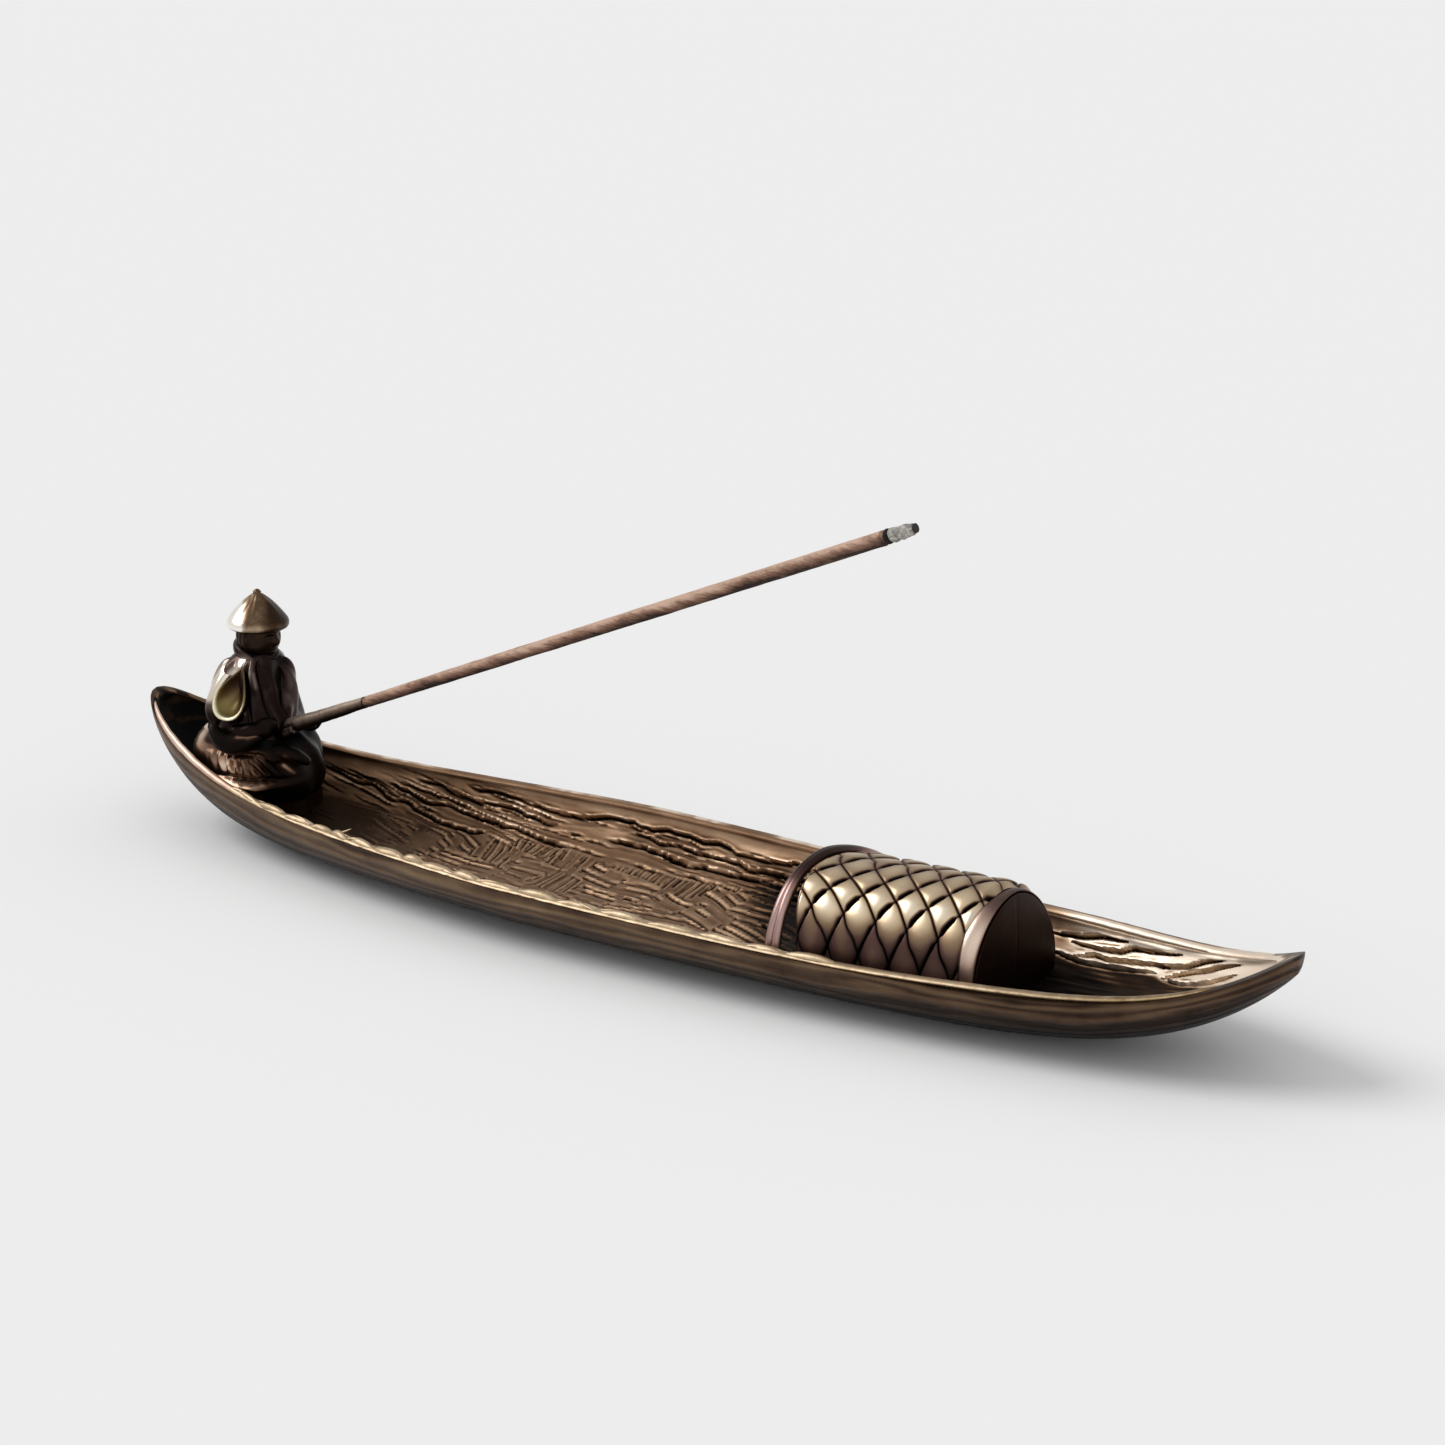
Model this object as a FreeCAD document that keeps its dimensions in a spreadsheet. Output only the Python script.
import FreeCAD
import Part
import Sketcher
import math
import os
from collections import namedtuple

Vec = FreeCAD.Vector

# Boat-shaped incense burner. +X points to the bow, +Z up, origin under the middle of the flat base.

doc = FreeCAD.newDocument("incense_boat")
sheet = doc.addObject("Spreadsheet::Sheet", "sizes")

SIZES = [
    # hull lines
    ("hull_length", 250.0),
    ("hull_beam", 53.6),
    ("widest_station", -23.0),
    ("bow_fullness", 2.2),
    ("bow_bluntness", 0.46),
    ("stern_fullness", 1.28),
    ("stern_bluntness", 0.51),
    ("rim_level", 11.4),
    ("bow_rise", 11.7),
    ("bow_rise_power", 8.0),
    ("stern_rise", 12.0),
    ("stern_rise_power", 5.3),
    ("keel_drop", 0.6),
    ("bow_keel_rise", 20.6),
    ("bow_keel_power", 7.5),
    ("stern_keel_rise", 21.2),
    ("stern_keel_power", 6.9),
    ("wall_thickness", 2.6),
    ("floor_thickness", 3.0),
    ("bow_block", 5.0),
    ("stern_block", 1.8),
    # gaps between the bark slats on the inner walls
    ("slat_gap_depth", 0.75),
    ("slat_gap_lift", 0.5),
    ("slat_step", 0.45),
    ("slat_ramp", 2.6),
    # cap rails on the rim
    ("rail_stern_gap", 8.0),
    ("rail_bow_gap", 11.0),
    ("rail_height", 1.2),
    ("rail_margin", 0.15),
    ("rail_gap", 0.05),
    # clearance of whatever stands in the hull
    ("seat_gap", 0.12),
    ("room_height", 60.0),
    # canopy
    ("canopy_from_bow", 57.0),
    ("canopy_length", 30.0),
    ("canopy_spring", 7.5),
    ("canopy_aft_half_width", 20.2),
    ("canopy_bow_half_width", 14.3),
    ("canopy_aft_crown", 24.2),
    ("canopy_bow_crown", 23.7),
    ("canopy_aft_lean", 6.0),
    ("canopy_bow_lean", 0.5),
    ("canopy_aft_squareness", 3.0),
    ("canopy_bow_squareness", 1.95),
    ("canopy_aft_far_squareness", 1.55),
    ("canopy_bow_far_squareness", 1.8),
    ("mat_thickness", 1.3),
    ("weave_relief", 0.75),
    ("weave_along", 6.0),
    ("weave_around", 4.5),
    ("bow_rim_width", 2.6),
    ("bow_rim_proud", 0.5),
    ("bow_rim_round", 0.6),
    ("bow_rim_gap", 0.05),
    ("bulkhead_thickness", 1.6),
    ("bulkhead_inset", 0.7),
    ("bulkhead_gap", 0.15),
    # hoop aft of the canopy
    ("hoop_ahead_gap", 1.9),
    ("hoop_half_width", 21.5),
    ("hoop_spring", 7.0),
    ("hoop_crown", 24.0),
    ("hoop_lean", 5.5),
    ("hoop_squareness", 2.25),
    ("hoop_far_squareness", 1.58),
    ("hoop_strand_radius", 0.85),
    ("hoop_strand_pitch", 1.8),
    # seat in the stern
    ("figure_from_stern", 25.0),
    ("seat_forward", 9.0),
    ("seat_aft", 9.0),
    ("seat_width", 16.0),
    ("seat_top", 7.8),
    ("dowel_radius", 1.5),
    ("dowel_clearance", 0.03),
    ("dowel_depth_in_floor", 1.4),
    ("dowel_depth_in_robe", 6.0),
    ("dowel_forward", 1.0),
    # seated fisherman
    ("skirt_middle", 12.5),
    ("skirt_shoulder", 16.6),
    ("waist_level", 20.0),
    ("skirt_half_depth", 11.4),
    ("skirt_half_width", 10.9),
    ("skirt_forward", 1.4),
    ("waist_half_depth", 8.8),
    ("waist_half_width", 9.4),
    ("chest_level", 26.6),
    ("chest_half_depth", 6.9),
    ("chest_half_width", 8.4),
    ("shoulder_level", 32.3),
    ("shoulder_half_depth", 5.2),
    ("shoulder_half_width", 7.3),
    ("collar_level", 35.0),
    ("collar_half_depth", 3.2),
    ("collar_half_width", 4.0),
    ("head_forward", 1.0),
    ("head_level", 38.2),
    ("head_half_depth", 4.2),
    ("head_half_width", 4.1),
    ("head_half_height", 4.4),
    ("hat_radius", 5.9),
    ("hat_brim_level", 40.8),
    ("hat_brim_thickness", 0.7),
    ("hat_hollow", 1.2),
    ("hat_height", 6.4),
    ("hat_knob_radius", 0.75),
    ("sleeve_top_radius", 2.9),
    ("sleeve_elbow_half_depth", 3.7),
    ("sleeve_elbow_half_width", 3.0),
    ("sleeve_shoulder_out", 6.4),
    ("sleeve_elbow_out", 8.4),
    ("sleeve_top_level", 32.8),
    ("sleeve_hem_level", 20.6),
    ("cuff_forward", 6.6),
    ("cuff_out", 4.9),
    ("cuff_half_width", 2.3),
    ("cuff_half_height", 2.7),
    ("hand_forward", 9.4),
    ("hand_out", 2.25),
    ("hand_level", 22.6),
    ("hand_half_depth", 2.2),
    ("hand_half_width", 1.95),
    ("hand_half_height", 2.1),
    # socket in the hands and the stick that stands in it
    ("stick_angle", 23.66),
    ("socket_forward", 6.0),
    ("socket_level", 20.76),
    ("socket_radius", 1.75),
    ("socket_tip_radius", 1.3),
    ("socket_length", 9.0),
    ("socket_floor", 1.0),
    ("bore_radius", 0.9),
    ("core_radius", 0.85),
    ("core_seat_gap", 0.05),
    ("core_end", 155.8),
    ("coat_start", 22.9),
    ("coat_start_radius", 1.05),
    ("coat_end", 149.3),
    ("coat_end_radius", 1.38),
    ("char_length", 0.9),
    ("ash_length", 5.3),
    ("ash_tip_radius", 1.02),
]

for row, (alias, value) in enumerate(SIZES, start=1):
    sheet.set(f"A{row}", alias)
    sheet.set(f"B{row}", str(value))
    sheet.setAlias(f"B{row}", alias)
doc.recompute()


def size(alias):
    """Value of one named size in the sheet."""
    return float(sheet.get(alias))


def feature(name, shape):
    """Document object holding a shape made by formula."""
    made = doc.addObject("Part::Feature", name)
    made.Shape = shape
    made.Placement = FreeCAD.Placement()
    return made


def cut(name, base, tool):
    """Boolean difference of two document objects."""
    made = doc.addObject("Part::Cut", name)
    made.Base = base
    made.Tool = tool
    return made


def fuse(name, shapes):
    """Boolean union of document objects."""
    made = doc.addObject("Part::MultiFuse", name)
    made.Shapes = shapes
    return made


def bind(obj, rules):
    """Tie properties of an object to sheet cells."""
    for prop, rule in rules.items():
        obj.setExpression(prop, rule)
    return obj


def spline(points):
    """Smooth edge through points."""
    curve = Part.BSplineCurve()
    curve.interpolate(points)
    return curve.toShape()


def ring(x, y, z, half_depth, half_width, squareness=2.0):
    """Level closed wire: an ellipse, or a squarer oval when squareness is over two."""
    points = []
    for k in range(24):
        angle = 2 * math.pi * k / 24
        across = math.copysign(abs(math.cos(angle)) ** (2 / squareness), math.cos(angle))
        along = math.copysign(abs(math.sin(angle)) ** (2 / squareness), math.sin(angle))
        points.append(Vec(x + half_depth * along, y + half_width * across, z))
    curve = Part.BSplineCurve()
    curve.interpolate(points, PeriodicFlag=True)
    return Part.Wire([curve.toShape()])


# Hull lines

BOW_TIP = size("hull_length") / 2
STERN_TIP = -size("hull_length") / 2
FIGURE = STERN_TIP + size("figure_from_stern")
FIGURE_RULE = "-sizes.hull_length / 2 + sizes.figure_from_stern"
CANOPY_BOW = BOW_TIP - size("canopy_from_bow")
CANOPY_AFT = CANOPY_BOW - size("canopy_length")
WIDEST = size("widest_station")


def run(x, bow_end=BOW_TIP, stern_end=STERN_TIP):
    """Share of the way from the widest station to the end of the run, 0 to 1."""
    if x >= WIDEST:
        return min((x - WIDEST) / (bow_end - WIDEST), 1.0)
    return min((WIDEST - x) / (WIDEST - stern_end), 1.0)


def plan_shape(x, bow_end, stern_end):
    """Half breadth at x as a share of the greatest."""
    share = run(x, bow_end, stern_end)
    if x >= WIDEST:
        return (1 - share ** size("bow_fullness")) ** size("bow_bluntness")
    return (1 - share ** size("stern_fullness")) ** size("stern_bluntness")


def rim_height(x):
    """Height of the hull's rim at x."""
    if x >= WIDEST:
        return size("rim_level") + size("bow_rise") * run(x) ** size("bow_rise_power")
    return size("rim_level") + size("stern_rise") * run(x) ** size("stern_rise_power")


def keel_height(x):
    """Height of the rounded bottom at x, before the base is cut flat."""
    if x >= WIDEST:
        return size("bow_keel_rise") * run(x) ** size("bow_keel_power") - size("keel_drop")
    return size("stern_keel_rise") * run(x) ** size("stern_keel_power") - size("keel_drop")


def outer_half(x):
    """Half breadth of the outside at x."""
    return size("hull_beam") / 2 * plan_shape(x, BOW_TIP, STERN_TIP)


CAVITY_BOW = BOW_TIP - size("bow_block")
CAVITY_STERN = STERN_TIP + size("stern_block")


def inner_half(x):
    """Half breadth of the inside at x."""
    inside = size("hull_beam") / 2 - size("wall_thickness")
    return inside * plan_shape(x, CAVITY_BOW, CAVITY_STERN)


def inner_depth(x):
    """Depth of the inside below the rim at x."""
    return rim_height(x) - keel_height(x) - size("floor_thickness")


def stations(stern_end, bow_end, count, closeness):
    """Stations from stern to bow, closer together toward both ends."""
    shares = [closeness * math.sin(math.pi / 2 * k / count) for k in range(count + 1)]
    aft = [WIDEST - (WIDEST - stern_end) * share for share in reversed(shares)]
    fore = [WIDEST + (bow_end - WIDEST) * share for share in shares[1:]]
    return aft + fore


def half_oval(x, half, depth, level):
    """Points of the lower half of an oval section at x."""
    points = []
    for k in range(17):
        angle = math.pi * k / 16
        points.append(Vec(x, -half * math.cos(angle), level - depth * math.sin(angle)))
    return points


def outer_section(x):
    """Closed wire of the outside at x: a half oval and the line across its rim."""
    points = half_oval(x, outer_half(x), rim_height(x) - keel_height(x), rim_height(x))
    return Part.Wire([spline(points), Part.makeLine(points[-1], points[0])])


def cavity_section(x):
    """Closed wire of the inside at x, carried up past the rim in one smooth edge."""
    level = rim_height(x)
    points = half_oval(x, inner_half(x), inner_depth(x), level)
    near = [Vec(x, points[0].y, level + step) for step in (3.0, 2.2, 1.5, 0.8)]
    far = [Vec(x, points[-1].y, level + step) for step in (0.8, 1.5, 2.2, 3.0)]
    points = near + points + far
    return Part.Wire([spline(points), Part.makeLine(points[-1], points[0])])


def room_section(x):
    """Closed wire of the free room in and over the hull at x."""
    level = rim_height(x)
    points = half_oval(x, inner_half(x) - size("seat_gap"), inner_depth(x) - size("seat_gap"), level)
    top_far = Vec(x, points[-1].y, level + size("room_height"))
    top_near = Vec(x, points[0].y, level + size("room_height"))
    return Part.Wire([
        spline(points),
        Part.makeLine(points[-1], top_far),
        Part.makeLine(top_far, top_near),
        Part.makeLine(top_near, points[0]),
    ])


outer_profiles = [outer_section(x) for x in stations(STERN_TIP, BOW_TIP, 10, 0.999)]
hull_outside = feature("hull_outside", Part.makeLoft(outer_profiles, True, False))
cavity_profiles = [cavity_section(x) for x in stations(CAVITY_STERN, CAVITY_BOW, 10, 0.999)]
hull_inside = feature("hull_inside", Part.makeLoft(cavity_profiles, True, False))
room_profiles = [room_section(x) for x in stations(CAVITY_STERN, CAVITY_BOW, 10, 0.985)]
room = feature("room", Part.makeLoft(room_profiles, True, False))
hull_open = cut("hull_open", hull_outside, hull_inside)

base_cutter = doc.addObject("Part::Box", "base_cutter")
bind(base_cutter, {
    "Length": "sizes.hull_length",
    "Width": "sizes.hull_beam",
    "Height": "sizes.keel_drop + 1",
    "Placement.Base.x": "-sizes.hull_length / 2",
    "Placement.Base.y": "-sizes.hull_beam / 2",
    "Placement.Base.z": "-sizes.keel_drop - 1",
})
hull_flat = cut("hull_flat", hull_open, base_cutter)

# Main gaps between the bark slats, each from stern to bow: share of the hull's length, and share of the way
# round from the middle of the floor to the rim. Both walls have them.
SLAT_GAPS = [
    [(0.24, 0.90), (0.284, 0.85), (0.324, 0.80), (0.38, 0.83), (0.428, 0.82), (0.48, 0.79), (0.536, 0.81),
     (0.61, 0.80)],
    [(0.385, 0.74), (0.43, 0.70), (0.48, 0.68), (0.53, 0.67), (0.57, 0.68), (0.61, 0.67)],
    [(0.37, 0.63), (0.41, 0.60), (0.44, 0.57), (0.48, 0.58), (0.53, 0.56), (0.57, 0.57), (0.60, 0.56)],
    [(0.152, 0.72), (0.18, 0.62), (0.21, 0.53), (0.235, 0.46), (0.28, 0.43)],
    [(0.175, 0.74), (0.21, 0.66), (0.25, 0.62), (0.285, 0.56), (0.32, 0.51), (0.35, 0.47)],
    [(0.195, 0.86), (0.23, 0.81), (0.265, 0.76), (0.30, 0.70), (0.33, 0.65)],
]


def wall_place(x, side, turn, out):
    """Place on the inner wall at x, turned up from the middle of the floor and moved out into the wall."""
    half, depth = inner_half(x), inner_depth(x)
    outward = Vec(0, side * depth * math.sin(turn), -half * math.cos(turn)).normalize()
    return Vec(x, side * half * math.sin(turn), rim_height(x) - depth * math.cos(turn)) + outward * out


def slat_gap(side, line):
    """Wedge under the lower edge of a slat: a steep step above its bottom and a long ramp below."""
    profiles = []
    for number, (share, lean) in enumerate(line):
        x = STERN_TIP + share * size("hull_length")
        turn = lean * math.pi / 2
        reach = math.hypot(inner_half(x) * math.cos(turn), inner_depth(x) * math.sin(turn))
        deep = size("slat_gap_depth") if 0 < number < len(line) - 1 else -0.4 * size("slat_gap_lift")
        bottom = wall_place(x, side, turn, deep)
        step = wall_place(x, side, turn + size("slat_step") / reach, -size("slat_gap_lift"))
        toe = wall_place(x, side, turn - size("slat_ramp") / reach, -size("slat_gap_lift"))
        profiles.append(Part.makePolygon([bottom, step, toe, bottom]))
    return Part.makeLoft(profiles, True, False)


slat_wedges = [slat_gap(side, line) for side in (-1, 1) for line in SLAT_GAPS]
slat_gaps = feature("slat_gaps", Part.makeCompound(slat_wedges))
hull_slatted = cut("hull_slatted", hull_flat, slat_gaps)

dowel_station = FIGURE + size("dowel_forward")
floor_at_dowel = rim_height(dowel_station) - inner_depth(dowel_station)
dowel_foot = floor_at_dowel - size("dowel_depth_in_floor")
dowel_head = size("seat_top") + size("dowel_depth_in_robe")

dowel_hole = doc.addObject("Part::Cylinder", "dowel_hole")
dowel_hole.Placement.Base.z = dowel_foot
dowel_hole.Height = dowel_head - dowel_foot + 0.2
bind(dowel_hole, {
    "Radius": "sizes.dowel_radius + sizes.dowel_clearance",
    "Placement.Base.x": FIGURE_RULE + " + sizes.dowel_forward",
})
boat_hull = cut("boat_hull", hull_slatted, dowel_hole)


# Cap rails

def rail_section(x, side, fullness):
    """Half-round section of a cap rail at x."""
    inside = inner_half(x) + size("rail_margin")
    outside = outer_half(x) - size("rail_margin")
    middle = (inside + outside) / 2
    reach = (outside - inside) / 2
    level = rim_height(x) + size("rail_gap")
    points = []
    for k in range(9):
        angle = math.pi * k / 8
        out = side * (middle - reach * math.cos(angle))
        points.append(Vec(x, out, level + fullness * size("rail_height") * math.sin(angle)))
    return Part.Wire([spline(points), Part.makeLine(points[-1], points[0])])


def rail(side):
    """Cap rail along one side of the rim, low at its two ends."""
    first, last = STERN_TIP + size("rail_stern_gap"), BOW_TIP - size("rail_bow_gap")
    profiles = []
    for k in range(17):
        share = k / 16
        x = first + (last - first) * (1 - math.cos(math.pi * share)) / 2
        profiles.append(rail_section(x, side, 0.4 + 0.6 * math.sin(math.pi * share) ** 0.5))
    return Part.makeLoft(profiles, True, False)


starboard_rail = feature("starboard_rail", rail(-1))
port_rail = feature("port_rail", rail(1))


# Canopy

# Arch across the hull: its crown leans to starboard, and each side has a squareness of its own.
Arch = namedtuple("Arch", "half_width spring crown lean near_squareness far_squareness")


def arch_point(x, arch, angle):
    """Point of an arch at x: angle 0 is the starboard spring, pi the port one."""
    across, rise = math.cos(angle), math.sin(angle)
    near = across > 0
    power = 2 / (arch.near_squareness if near else arch.far_squareness)
    half = arch.half_width - arch.lean if near else arch.half_width + arch.lean
    out = math.copysign(abs(across) ** power, across)
    up = math.copysign(abs(rise) ** power, rise)
    return Vec(x, -arch.lean - half * out, arch.spring + (arch.crown - arch.spring) * up)


def feet(x, arch, margin):
    """Angles at which an arch at x comes down to the hull's inside, less a margin."""
    half, depth, level = inner_half(x) - margin, inner_depth(x) - margin, rim_height(x)
    found = []
    for spring_angle, way in ((0.0, 1.0), (math.pi, -1.0)):
        low, high = -0.6, math.pi / 2
        for _ in range(40):
            middle = (low + high) / 2
            point = arch_point(x, arch, spring_angle + way * middle)
            below = max(level - point.z, 0.0)
            if (point.y / half) ** 2 + (below / depth) ** 2 < 1:
                high = middle
            else:
                low = middle
        found.append(spring_angle + way * high)
    return found


def canopy_section(share, growth):
    """Arch of the canopy at a share of its length, grown outward from its inside face."""
    def along(word):
        """Size that runs from its aft value to its bow one."""
        aft, bow = size(f"canopy_aft_{word}"), size(f"canopy_bow_{word}")
        return aft + (bow - aft) * share

    outward = growth - size("mat_thickness")
    return Arch(
        along("half_width") + outward, size("canopy_spring"), along("crown") + outward,
        along("lean"), along("squareness"), along("far_squareness"),
    )


FOOT_MARGIN = size("seat_gap") + size("weave_relief") / 2
AFT_FEET = feet(CANOPY_AFT, canopy_section(0.0, size("mat_thickness")), FOOT_MARGIN)
BOW_FEET = feet(CANOPY_BOW, canopy_section(1.0, size("mat_thickness")), FOOT_MARGIN)


def canopy_arch(x, angle_share, growth):
    """Point of the canopy's arch at x, grown outward from its inside face."""
    share = (x - CANOPY_AFT) / size("canopy_length")
    start = AFT_FEET[0] + (BOW_FEET[0] - AFT_FEET[0]) * share
    end = AFT_FEET[1] + (BOW_FEET[1] - AFT_FEET[1]) * share
    return arch_point(x, canopy_section(share, growth), start + (end - start) * angle_share)


def weave_height(along, around):
    """Relief of the plaited mat: a pillow on each lozenge, a valley on each edge."""
    one = abs(math.sin(math.pi * (along + around)))
    other = abs(math.sin(math.pi * (along - around)))
    return size("weave_relief") * math.sqrt(one * other)


def triangle(first, second, third):
    """Flat three-cornered face."""
    return Part.Face(Part.makePolygon([first, second, third, first]))


def band(low, high):
    """Faces between two rows with the same number of points."""
    faces = []
    for k in range(len(low) - 1):
        faces.append(triangle(low[k], low[k + 1], high[k]))
        faces.append(triangle(low[k + 1], high[k + 1], high[k]))
    return faces


def fan(line, start, end):
    """Faces between a row of points and the straight edge from start to end."""
    faces = [triangle(line[k], line[k + 1], start) for k in range(len(line) - 1)]
    faces.append(triangle(line[-1], end, start))
    return faces


along_count = int(round(size("weave_along") * 4))
around_count = int(round(size("weave_around") * 4))
mat_rows = []
for i in range(along_count + 1):
    x = CANOPY_AFT + size("canopy_length") * i / along_count
    line = []
    for j in range(around_count + 1):
        edge_row = i in (0, along_count) or j in (0, around_count)
        relief = 0.0 if edge_row else weave_height(i / 4, j / 4)
        point = canopy_arch(x, j / around_count, size("mat_thickness"))
        lean = canopy_section(i / along_count, 0.0).lean
        outward = point - Vec(x, -lean, size("canopy_spring"))
        line.append(point + outward * (relief / outward.Length))
    mat_rows.append(line)
lining_aft = [canopy_arch(CANOPY_AFT, j / around_count, 0.0) for j in range(around_count + 1)]
lining_bow = [canopy_arch(CANOPY_BOW, j / around_count, 0.0) for j in range(around_count + 1)]
mat_faces = band(lining_aft, lining_bow)
for i in range(along_count):
    mat_faces += band(mat_rows[i], mat_rows[i + 1])
mat_faces += band(lining_aft, mat_rows[0]) + band(lining_bow, mat_rows[-1])
mat_faces += fan([line[0] for line in mat_rows], lining_aft[0], lining_bow[0])
mat_faces += fan([line[-1] for line in mat_rows], lining_aft[-1], lining_bow[-1])
mat_shell = Part.makeShell(mat_faces)
mat_shell.sewShape()
mat_solid = Part.makeSolid(Part.Shell(mat_shell.Faces))
if mat_solid.Volume < 0:
    mat_solid.reverse()
canopy_mat = feature("canopy_mat", mat_solid)


def bulkhead(x_tight, x_face, x_back):
    """Plate across the canopy, cut to its arch at the tightest station, its foot on the hull's inside."""
    top = []
    for j in range(17):
        point = canopy_arch(x_tight, j / 16, -size("bulkhead_gap"))
        top.append(Vec(x_face, point.y, point.z))
    half, depth = inner_half(x_tight) - size("seat_gap"), inner_depth(x_tight) - size("seat_gap")
    level = rim_height(x_tight)
    bottom = []
    for j in range(13):
        y = top[-1].y + (top[0].y - top[-1].y) * j / 12
        bottom.append(Vec(x_face, y, level - depth * math.sqrt(1 - (y / half) ** 2)))
    sides = []
    if top[-1].z - bottom[0].z > 1e-4:
        sides = [Part.makeLine(top[-1], bottom[0]), Part.makeLine(bottom[-1], top[0])]
        edges = [spline(top), sides[0], spline(bottom), sides[1]]
    else:
        bottom[0] = top[-1]
        bottom[-1] = top[0]
        edges = [spline(top), spline(bottom)]
    face = Part.Face(Part.Wire(edges))
    return face.extrude(Vec(x_back - x_face, 0, 0))


rim_start = CANOPY_BOW + size("bow_rim_gap")
rim_end = rim_start + size("bow_rim_width")
thick = size("bulkhead_thickness")
bow_face = rim_end - size("bulkhead_inset")
aft_face = CANOPY_AFT + size("bulkhead_inset")
canopy_bow_bulkhead = feature("canopy_bow_bulkhead", bulkhead(rim_end, bow_face, bow_face - thick))
aft_inner = aft_face + thick
canopy_aft_bulkhead = feature("canopy_aft_bulkhead", bulkhead(aft_inner, aft_inner, aft_face))

rim_top = [canopy_arch(rim_end, j / 24, size("mat_thickness") + size("bow_rim_proud")) for j in range(25)]
rim_under = [canopy_arch(rim_end, j / 24, 0.0) for j in range(25)]
rim_outline = Part.Wire([
    spline(rim_top),
    Part.makeLine(rim_top[-1], rim_under[-1]),
    spline(rim_under),
    Part.makeLine(rim_under[0], rim_top[0]),
])
rim_band = Part.Face(rim_outline).extrude(Vec(-size("bow_rim_width"), 0, 0))
rim_edges = [edge for edge in rim_band.Edges if edge.distToShape(Part.Vertex(rim_top[12]))[0] < 1e-3]
canopy_bow_rim = feature("canopy_bow_rim", rim_band.makeFillet(size("bow_rim_round"), rim_edges))


def bent_rod(x, arch, radius):
    """Round rod bent to an arch at x, its two feet on the hull's inside."""
    start, end = feet(x, arch, radius + size("seat_gap"))
    points = [arch_point(x, arch, start + (end - start) * k / 24) for k in range(25)]
    path = Part.Wire([spline(points)])
    ahead = path.Edges[0].tangentAt(path.Edges[0].FirstParameter)
    profile = Part.Wire([Part.makeCircle(radius, points[0], ahead)])
    return path.makePipeShell([profile], True, False)


hoop_arch = Arch(
    size("hoop_half_width"), size("hoop_spring"), size("hoop_crown"),
    size("hoop_lean"), size("hoop_squareness"), size("hoop_far_squareness"),
)
hoop_station = CANOPY_AFT - size("hoop_ahead_gap") - size("hoop_strand_radius")
hoop_strands = []
for number in (0, 1):
    station = hoop_station - number * size("hoop_strand_pitch")
    hoop_strands.append(bent_rod(station, hoop_arch, size("hoop_strand_radius")))
canopy_hoop = feature("canopy_hoop", Part.makeCompound(hoop_strands))


# Seat in the stern and the pin that holds the figure

seat_block = doc.addObject("Part::Box", "seat_block")
bind(seat_block, {
    "Length": "sizes.seat_forward + sizes.seat_aft",
    "Width": "sizes.seat_width",
    "Height": "sizes.seat_top",
    "Placement.Base.x": FIGURE_RULE + " - sizes.seat_aft",
    "Placement.Base.y": "-sizes.seat_width / 2",
})
seat_fitted = doc.addObject("Part::Common", "seat_fitted")
seat_fitted.Base = seat_block
seat_fitted.Tool = room
stern_seat = cut("stern_seat", seat_fitted, dowel_hole)

figure_dowel = doc.addObject("Part::Cylinder", "figure_dowel")
figure_dowel.Placement.Base.z = dowel_foot + 0.05
figure_dowel.Height = dowel_head - dowel_foot - 0.05
bind(figure_dowel, {
    "Radius": "sizes.dowel_radius",
    "Placement.Base.x": FIGURE_RULE + " + sizes.dowel_forward",
})


# Socket and stick, both along the slanting stick line

def on_stick(obj, start):
    """Stand an object's own +Z along the stick line, from a length measured along it."""
    obj.Placement.Rotation = FreeCAD.Rotation(Vec(0, 1, 0), 90 - size("stick_angle"))
    return bind(obj, {
        "Placement.Rotation.Angle": "90 - sizes.stick_angle",
        "Placement.Base.x": f"{FIGURE_RULE} + sizes.socket_forward + cos(sizes.stick_angle) * ({start})",
        "Placement.Base.z": f"sizes.socket_level + sin(sizes.stick_angle) * ({start})",
    })


def stick_cylinder(name, radius, start, end):
    """Cylinder along the stick line between two lengths."""
    made = doc.addObject("Part::Cylinder", name)
    bind(made, {"Radius": radius, "Height": f"({end}) - ({start})"})
    return on_stick(made, start)


def stick_cone(name, radius_1, radius_2, start, end):
    """Cone along the stick line between two lengths."""
    made = doc.addObject("Part::Cone", name)
    bind(made, {"Radius1": radius_1, "Radius2": radius_2, "Height": f"({end}) - ({start})"})
    return on_stick(made, start)


socket_body = stick_cone(
    "socket_body", "sizes.socket_radius", "sizes.socket_tip_radius", "0", "sizes.socket_length"
)
socket_bore = stick_cylinder(
    "socket_bore", "sizes.bore_radius", "sizes.socket_floor", "sizes.socket_length + 1"
)
stick_socket = cut("stick_socket", socket_body, socket_bore)

CORE_START = "sizes.socket_floor + sizes.core_seat_gap"
CHAR_END = "sizes.coat_end + sizes.char_length"
ASH_END = "sizes.coat_end + sizes.char_length + sizes.ash_length"
bamboo_core = stick_cylinder("bamboo_core", "sizes.core_radius", CORE_START, "sizes.core_end")
core_space = stick_cylinder("core_space", "sizes.core_radius", "0", "sizes.core_end + 2")
coat_form = stick_cone(
    "coat_form", "sizes.coat_start_radius", "sizes.coat_end_radius", "sizes.coat_start", "sizes.coat_end"
)
incense_coat = cut("incense_coat", coat_form, core_space)
char_form = stick_cylinder("char_form", "sizes.coat_end_radius", "sizes.coat_end", CHAR_END)
char_ring = cut("char_ring", char_form, core_space)
ash_form = stick_cone("ash_form", "sizes.coat_end_radius", "sizes.ash_tip_radius", CHAR_END, ASH_END)
ash_tip = cut("ash_tip", ash_form, core_space)


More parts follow.
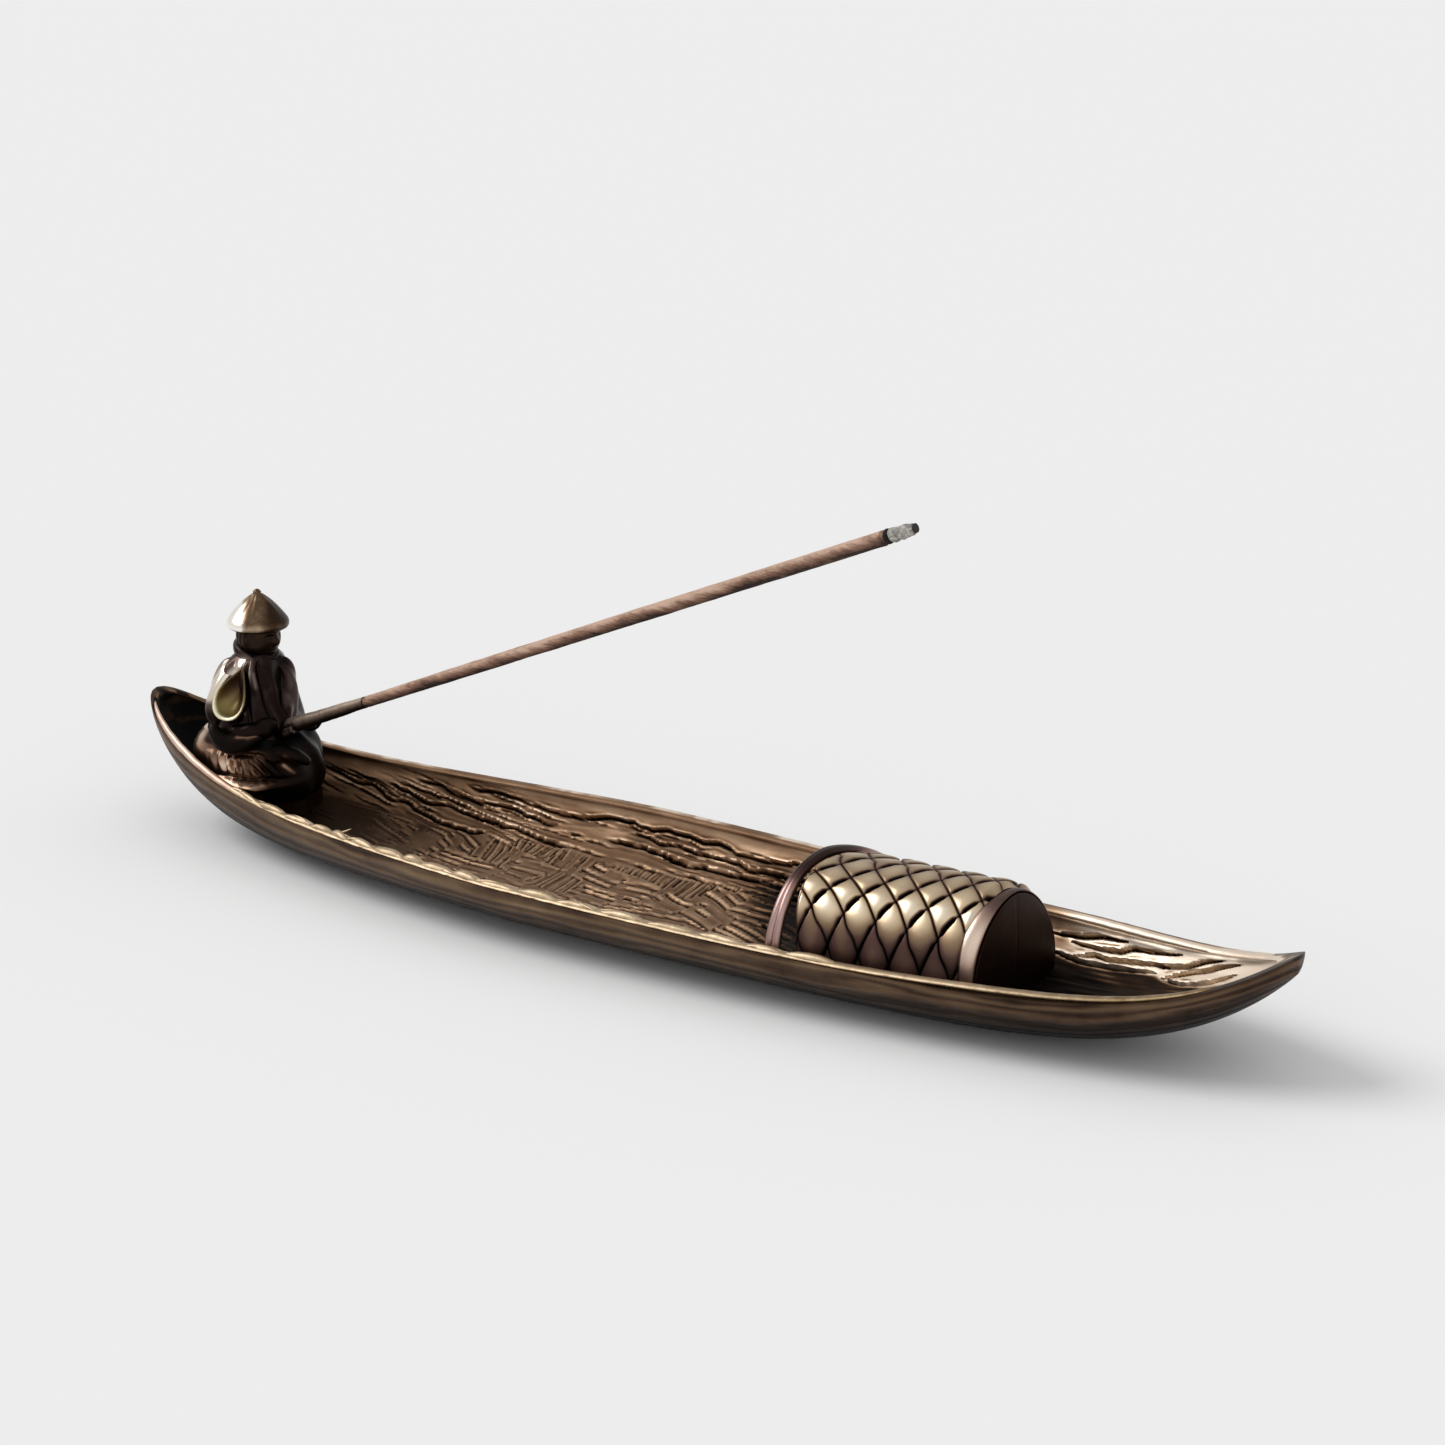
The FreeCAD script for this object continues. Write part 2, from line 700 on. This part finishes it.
# Seated fisherman

def robe_form(levels):
    """Robe lofted through level ovals, each (height, centre, half depth, half width)."""
    profiles = [ring(x, 0, z, depth, width, 2.2) for z, x, depth, width in levels]
    return Part.makeLoft(profiles, True, False)


skirt_loft = feature("skirt_loft", robe_form([
    (size("seat_top") + 0.05, FIGURE + size("skirt_forward"), size("skirt_half_depth") - 1.4,
     size("skirt_half_width") - 1.8),
    (size("skirt_middle"), FIGURE + size("skirt_forward"), size("skirt_half_depth"), size("skirt_half_width")),
    (size("skirt_shoulder"), FIGURE + size("skirt_forward") - 0.4, size("skirt_half_depth") - 0.9,
     size("skirt_half_width") - 0.2),
    (size("waist_level"), FIGURE + 0.4, size("waist_half_depth") + 0.2,
     size("waist_half_width") + 0.2),
]))
skirt_fitted = doc.addObject("Part::Common", "skirt_fitted")
skirt_fitted.Base = skirt_loft
skirt_fitted.Tool = room
skirt_bored = cut("skirt_bored", skirt_fitted, dowel_hole)
robe_skirt = cut("robe_skirt", skirt_bored, socket_body)

torso_loft = feature("torso_loft", robe_form([
    (size("waist_level"), FIGURE, size("waist_half_depth"), size("waist_half_width")),
    (size("chest_level"), FIGURE - 0.3, size("chest_half_depth"), size("chest_half_width")),
    (size("shoulder_level"), FIGURE, size("shoulder_half_depth"),
     size("shoulder_half_width")),
    (size("collar_level"), FIGURE + 0.3, size("collar_half_depth"),
     size("collar_half_width")),
]))
robe_torso = cut("robe_torso", torso_loft, socket_body)

hat_body = doc.addObject("PartDesign::Body", "conical_hat")
hat_sketch = hat_body.newObject("Sketcher::SketchObject", "hat_profile")
hat_planes = {plane.Role: plane for plane in hat_body.Origin.OriginFeatures if hasattr(plane, "Role")}
hat_sketch.AttachmentSupport = [(hat_planes["XZ_Plane"], "")]
hat_sketch.MapMode = "FlatFace"
hat_corners = [(0, 1.2), (5.9, 0), (5.9, 0.7), (0.75, 6.5), (0.75, 7.2), (0, 7.2)]
for k, corner in enumerate(hat_corners):
    after = hat_corners[(k + 1) % len(hat_corners)]
    hat_sketch.addGeometry(Part.LineSegment(Vec(*corner, 0), Vec(*after, 0)), False)
for k in range(len(hat_corners)):
    hat_sketch.addConstraint(Sketcher.Constraint("Coincident", k, 2, (k + 1) % len(hat_corners), 1))
hat_sketch.addConstraint(Sketcher.Constraint("PointOnObject", 0, 1, -2))
hat_sketch.addConstraint(Sketcher.Constraint("PointOnObject", 5, 1, -2))
hat_sketch.addConstraint(Sketcher.Constraint("PointOnObject", 0, 2, -1))
hat_sketch.addConstraint(Sketcher.Constraint("Vertical", 1))
hat_sketch.addConstraint(Sketcher.Constraint("Vertical", 3))
hat_sketch.addConstraint(Sketcher.Constraint("Horizontal", 4))
HAT_SIZES = [
    ("DistanceX", (-1, 1, 0, 2), "hat_radius", "sizes.hat_radius"),
    ("DistanceY", (-1, 1, 0, 1), "hollow", "sizes.hat_hollow"),
    ("DistanceY", (1, 1, 1, 2), "brim", "sizes.hat_brim_thickness"),
    ("DistanceY", (-1, 1, 5, 1), "height", "sizes.hat_height"),
    ("DistanceX", (-1, 1, 3, 1), "knob_radius", "sizes.hat_knob_radius"),
    ("DistanceY", (3, 1, 3, 2), "knob_height", "sizes.hat_knob_radius"),
]
for kind, places, name, rule in HAT_SIZES:
    number = hat_sketch.addConstraint(Sketcher.Constraint(kind, *places, 1.0))
    hat_sketch.renameConstraint(number, name)
    hat_sketch.setExpression(f"Constraints.{name}", rule)
hat_turn = hat_body.newObject("PartDesign::Revolution", "hat_turn")
hat_turn.Profile = hat_sketch
hat_turn.ReferenceAxis = (hat_sketch, ["V_Axis"])
hat_turn.Angle = 360
bind(hat_body, {"Placement.Base.x": FIGURE_RULE + " + sizes.head_forward", "Placement.Base.z": "sizes.hat_brim_level"})
doc.recompute()

head_form = doc.addObject("Part::Ellipsoid", "head_form")
head_form.Angle1 = -90
head_form.Angle2 = 90
head_form.Angle3 = 360
bind(head_form, {
    "Radius1": "sizes.head_half_height",
    "Radius2": "sizes.head_half_depth",
    "Radius3": "sizes.head_half_width",
    "Placement.Base.x": FIGURE_RULE + " + sizes.head_forward",
    "Placement.Base.z": "sizes.head_level",
})
hat_space = doc.addObject("Part::Cone", "hat_space")
bind(hat_space, {
    "Radius1": "sizes.hat_radius",
    "Radius2": "0",
    "Height": "sizes.hat_hollow",
    "Placement.Base.x": FIGURE_RULE + " + sizes.head_forward",
    "Placement.Base.z": "sizes.hat_brim_level",
})
hat_above = doc.addObject("Part::Cylinder", "hat_above")
bind(hat_above, {
    "Radius": "sizes.hat_radius",
    "Height": "sizes.hat_height",
    "Placement.Base.x": FIGURE_RULE + " + sizes.head_forward",
    "Placement.Base.z": "sizes.hat_brim_level",
})
above_brim = cut("above_brim", hat_above, hat_space)
head_bare = cut("head_bare", head_form, above_brim)
fisherman_head = cut("fisherman_head", head_bare, torso_loft)


def sleeve(side):
    """Wide sleeve: a hanging upper part and a forearm that runs in to the cuff."""
    x = FIGURE
    top, hem = size("sleeve_top_level"), size("sleeve_hem_level")
    shoulder_out, elbow_out = size("sleeve_shoulder_out"), size("sleeve_elbow_out")
    top_radius = size("sleeve_top_radius")
    depth, width = size("sleeve_elbow_half_depth"), size("sleeve_elbow_half_width")
    drop = top - hem
    hanging = Part.makeLoft([
        ring(x, side * shoulder_out, top, top_radius * 0.8, top_radius * 0.7),
        ring(x - 0.1, side * (shoulder_out + elbow_out) / 2, top - 0.3 * drop, top_radius + 0.4, top_radius),
        ring(x + 0.5, side * elbow_out, top - 0.65 * drop, depth, width),
        ring(x + 0.9, side * (elbow_out - 0.2), hem, depth * 0.7, width * 0.7),
    ], True, False)
    elbow = Vec(x + 0.8, side * (elbow_out - 0.4), top - 0.68 * drop)
    cuff = Vec(FIGURE + size("cuff_forward"), side * size("cuff_out"), size("hand_level") - 0.3)
    toward = cuff - elbow
    profiles = []
    for share in (0.0, 0.5, 1.0):
        place = elbow + toward * share
        half_width = width * 0.85 + (size("cuff_half_width") - width * 0.85) * share
        half_height = width + (size("cuff_half_height") - width) * share
        outline = ring(0, 0, 0, half_height, half_width)
        turn = FreeCAD.Rotation(Vec(0, 0, 1), Vec(toward.x, toward.y, toward.z))
        outline.Placement = FreeCAD.Placement(place, turn)
        profiles.append(outline)
    forearm = Part.makeLoft(profiles, True, False)
    return hanging.fuse(forearm).removeSplitter()


PALM_LEVELS = (-0.92, -0.6, 0.0, 0.6, 0.92)


def palm(side):
    """Closed hand: level ovals that narrow toward its top and its underside."""
    x, y = FIGURE + size("hand_forward"), side * size("hand_out")
    profiles = []
    for share in PALM_LEVELS:
        reach = math.sqrt(1 - share ** 2)
        level = size("hand_level") + share * size("hand_half_height")
        profiles.append(ring(x, y, level, size("hand_half_depth") * reach, size("hand_half_width") * reach))
    return Part.makeLoft(profiles, True, False)


body_forms = fuse("body_forms", [torso_loft, skirt_loft])
sleeves = {}
hands = {}
for side, word in ((-1, "right"), (1, "left")):
    form = feature(f"{word}_sleeve_form", sleeve(side))
    off_body = cut(f"{word}_sleeve_off_body", form, body_forms)
    sleeves[word] = cut(f"{word}_sleeve", off_body, socket_body)
    palm_form = feature(f"{word}_palm", palm(side))
    palm_off_socket = cut(f"{word}_palm_off_socket", palm_form, socket_body)
    palm_off_robe = cut(f"{word}_palm_off_robe", palm_off_socket, torso_loft)
    hands[word] = cut(f"{word}_hand", palm_off_robe, form)

doc.recompute()

NODES = {
    "boat_hull": boat_hull,
    "starboard_rail": starboard_rail,
    "port_rail": port_rail,
    "canopy_mat": canopy_mat,
    "canopy_bow_bulkhead": canopy_bow_bulkhead,
    "canopy_aft_bulkhead": canopy_aft_bulkhead,
    "canopy_bow_rim": canopy_bow_rim,
    "canopy_hoop": canopy_hoop,
    "stern_seat": stern_seat,
    "figure_dowel": figure_dowel,
    "robe_skirt": robe_skirt,
    "robe_torso": robe_torso,
    "right_sleeve": sleeves["right"],
    "left_sleeve": sleeves["left"],
    "right_hand": hands["right"],
    "left_hand": hands["left"],
    "fisherman_head": fisherman_head,
    "conical_hat": hat_body,
    "stick_socket": stick_socket,
    "bamboo_core": bamboo_core,
    "incense_coat": incense_coat,
    "char_ring": char_ring,
    "ash_tip": ash_tip,
}
for name, made in NODES.items():
    made.Label = name

for made in doc.Objects:
    if "Invalid" in made.State or "Error" in made.State:
        raise RuntimeError(f"{made.Name} did not build")
for name, made in NODES.items():
    if made.Shape.isNull() or not made.Shape.isValid():
        raise RuntimeError(f"{name} has no valid shape")

os.makedirs("parts", exist_ok=True)
for name, made in NODES.items():
    made.Shape.exportStep(f"parts/{name}.step")
    box = made.Shape.BoundBox
    print(
        f"{name}: {len(made.Shape.Solids)} solids, {made.Shape.Volume:.1f} mm3,"
        f" x {box.XMin:.1f}..{box.XMax:.1f} y {box.YMin:.1f}..{box.YMax:.1f} z {box.ZMin:.1f}..{box.ZMax:.1f}"
    )
